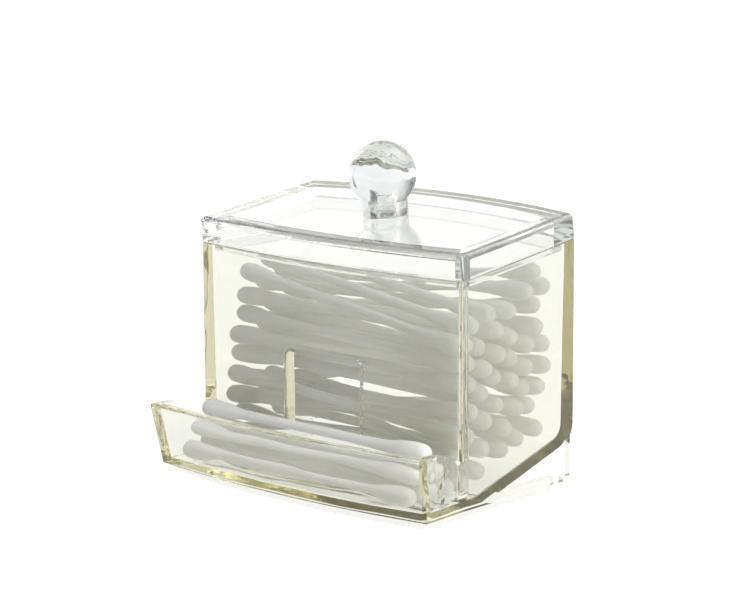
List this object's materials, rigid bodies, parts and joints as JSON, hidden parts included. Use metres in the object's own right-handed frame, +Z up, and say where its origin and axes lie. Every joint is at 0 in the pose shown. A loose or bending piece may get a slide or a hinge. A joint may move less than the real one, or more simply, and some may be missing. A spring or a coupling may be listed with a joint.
{
  "type": "cotton swab box",
  "caption": "Clear box of cotton swabs: a tall bin with bowed walls, a ramp floor and a scooped front tray, under a lift-off lid with a ball knob.",
  "frame": {"origin": "Bottom centre of the bounding box, on the surface that the foot stands on", "axes": "+Z up, -Y towards the tray at the front, +X to the right seen from the front"},
  "size_m": [0.09, 0.0651, 0.084],
  "materials": {
    "clear_bin": "clear gloss",
    "clear_lid": "clear gloss",
    "cotton": "matt"
  },
  "bodies": {
    "bin_body": {"bin": "clear_bin", "swab_01": "cotton", "swab_02": "cotton", "swab_03": "cotton", "swab_04": "cotton", "swab_05": "cotton", "swab_06": "cotton", "swab_07": "cotton", "swab_08": "cotton", "swab_09": "cotton", "swab_10": "cotton", "swab_11": "cotton", "swab_12": "cotton", "swab_13": "cotton", "swab_14": "cotton", "swab_15": "cotton", "swab_16": "cotton", "swab_17": "cotton", "swab_18": "cotton", "swab_19": "cotton", "swab_20": "cotton", "swab_21": "cotton", "swab_22": "cotton", "swab_23": "cotton", "swab_24": "cotton", "swab_25": "cotton", "swab_26": "cotton", "swab_27": "cotton", "swab_28": "cotton", "swab_29": "cotton", "swab_30": "cotton", "swab_31": "cotton", "swab_32": "cotton", "swab_33": "cotton", "swab_34": "cotton", "swab_35": "cotton", "swab_36": "cotton", "swab_37": "cotton", "swab_38": "cotton", "swab_39": "cotton", "swab_40": "cotton", "swab_41": "cotton", "swab_42": "cotton", "swab_43": "cotton", "swab_44": "cotton", "swab_45": "cotton", "swab_46": "cotton"},
    "lid_body": {"lid": "clear_lid", "knob": "clear_lid"}
  },
  "joints": [
    {"name": "lid_lift", "type": "slide", "parent": "bin_body", "child": "lid_body", "axis": [0, 0, 1], "range_m": [0, 0.09]}
  ]
}
